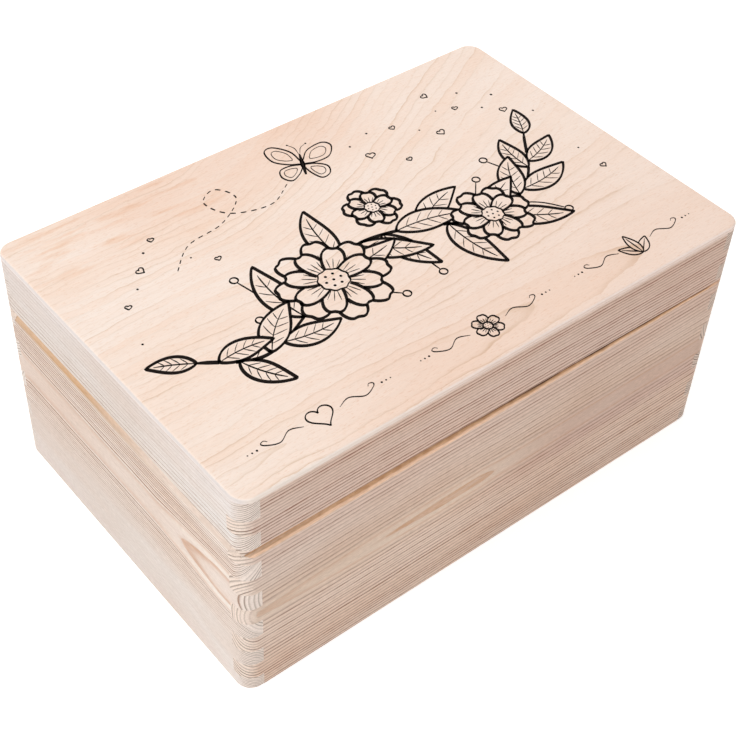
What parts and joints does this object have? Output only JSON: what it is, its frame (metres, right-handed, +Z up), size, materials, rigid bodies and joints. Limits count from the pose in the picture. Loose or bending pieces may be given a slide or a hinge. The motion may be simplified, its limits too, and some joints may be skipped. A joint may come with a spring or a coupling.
{
  "type": "keepsake box",
  "caption": "Rectangular pine keepsake box with finger-jointed rounded corners and a deep lid with a plywood top, hinged along its back.",
  "frame": {"origin": "middle of the underside, on the surface that the box stands on", "axes": "+X along the long side, to the right seen from the front; +Y from front to back; +Z up through the lid"},
  "size_m": [0.3, 0.198, 0.134],
  "materials": {
    "pine_long": "sanded bare",
    "pine_short": "sanded bare",
    "birch_top": "sanded bare, with a fine dark line design",
    "ply_bottom": "sanded bare",
    "hinge_steel": "zinc plated, satin",
    "pin_steel": "drawn wire, satin",
    "screw_steel": "yellow zinc, satin"
  },
  "bodies": {
    "box": {"front_board": "pine_long", "back_board": "pine_long", "left_board": "pine_short", "right_board": "pine_short", "bottom_panel": "ply_bottom", "left_hinge_box_leaf": "hinge_steel", "left_hinge_pin": "pin_steel", "right_hinge_box_leaf": "hinge_steel", "right_hinge_pin": "pin_steel", "box_leaf_screws": "screw_steel"},
    "lid": {"lid_front_rail": "pine_long", "lid_back_rail": "pine_long", "lid_left_rail": "pine_short", "lid_right_rail": "pine_short", "lid_top_panel": "birch_top", "left_hinge_lid_leaf": "hinge_steel", "right_hinge_lid_leaf": "hinge_steel", "lid_leaf_screws": "screw_steel"}
  },
  "joints": [
    {"name": "lid_hinge", "type": "hinge", "parent": "box", "child": "lid", "pos_m": [0, 0.0969, 0.0986], "axis": [-1, 0, 0], "range_deg": [0, 100]}
  ]
}
